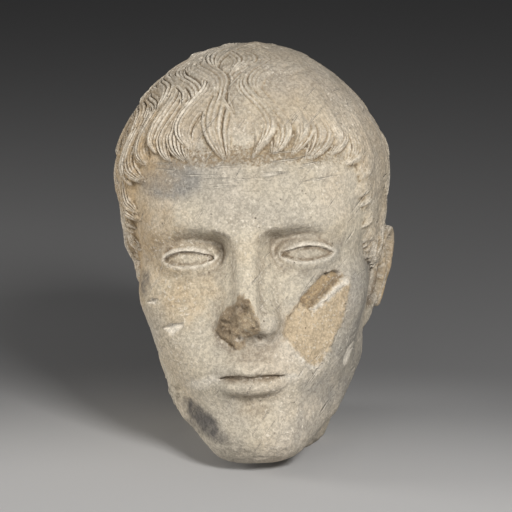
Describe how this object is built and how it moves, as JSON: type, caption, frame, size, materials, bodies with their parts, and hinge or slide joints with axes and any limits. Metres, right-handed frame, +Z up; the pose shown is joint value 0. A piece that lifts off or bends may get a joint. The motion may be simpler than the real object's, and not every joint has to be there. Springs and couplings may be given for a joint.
{
  "type": "limestone head sculpture",
  "caption": "Carved limestone male head with hair combed forward in wavy locks, worn and chipped, broken off at the neck and cut flat to stand.",
  "frame": {"origin": "on the ground plane, under the head's upright axis, inside the flat break of the neck", "axes": "+Z up, the face looks along -Y, +X is the figure's left"},
  "size_m": [0.2059, 0.2835, 0.2886],
  "materials": {
    "limestone": "matt, weathered, with chips and stains"
  },
  "bodies": {
    "root": {"head": "limestone"}
  },
  "joints": []
}
